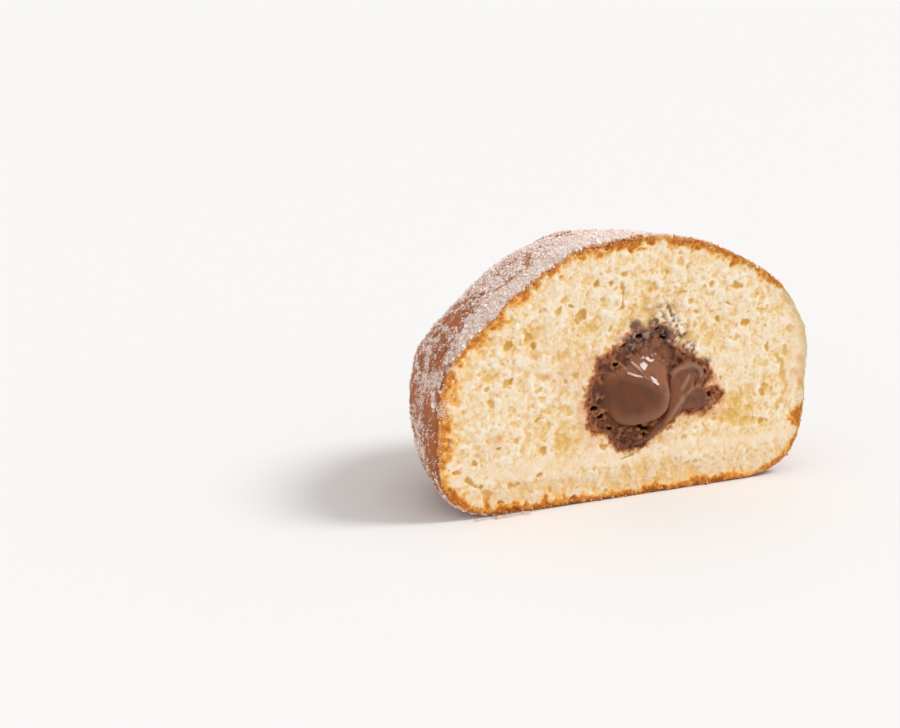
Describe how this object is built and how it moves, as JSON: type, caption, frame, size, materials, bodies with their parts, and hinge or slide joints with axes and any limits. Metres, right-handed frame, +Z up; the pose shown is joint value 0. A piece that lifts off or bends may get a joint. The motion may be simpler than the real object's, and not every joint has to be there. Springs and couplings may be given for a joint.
{
  "type": "filled beignet half",
  "caption": "Half of a round, sugar-dusted filled beignet, cut upright through the middle so that its airy crumb and a pocket of chocolate cream show.",
  "frame": {"origin": "middle of the bounding box, on the surface that the flat base rests on", "axes": "+X right along the cut face as one looks at it, +Y from the cut face into the bun, +Z up"},
  "size_m": [0.096, 0.049, 0.0601],
  "materials": {
    "dough": "fried crust, orange-brown, dry and slightly wrinkled",
    "crumb": "open, airy cream-coloured crumb",
    "filling": "glossy chocolate cream",
    "sugar": "granulated sugar"
  },
  "bodies": {
    "root": {"dough": "dough", "filling": "filling"}
  },
  "joints": []
}
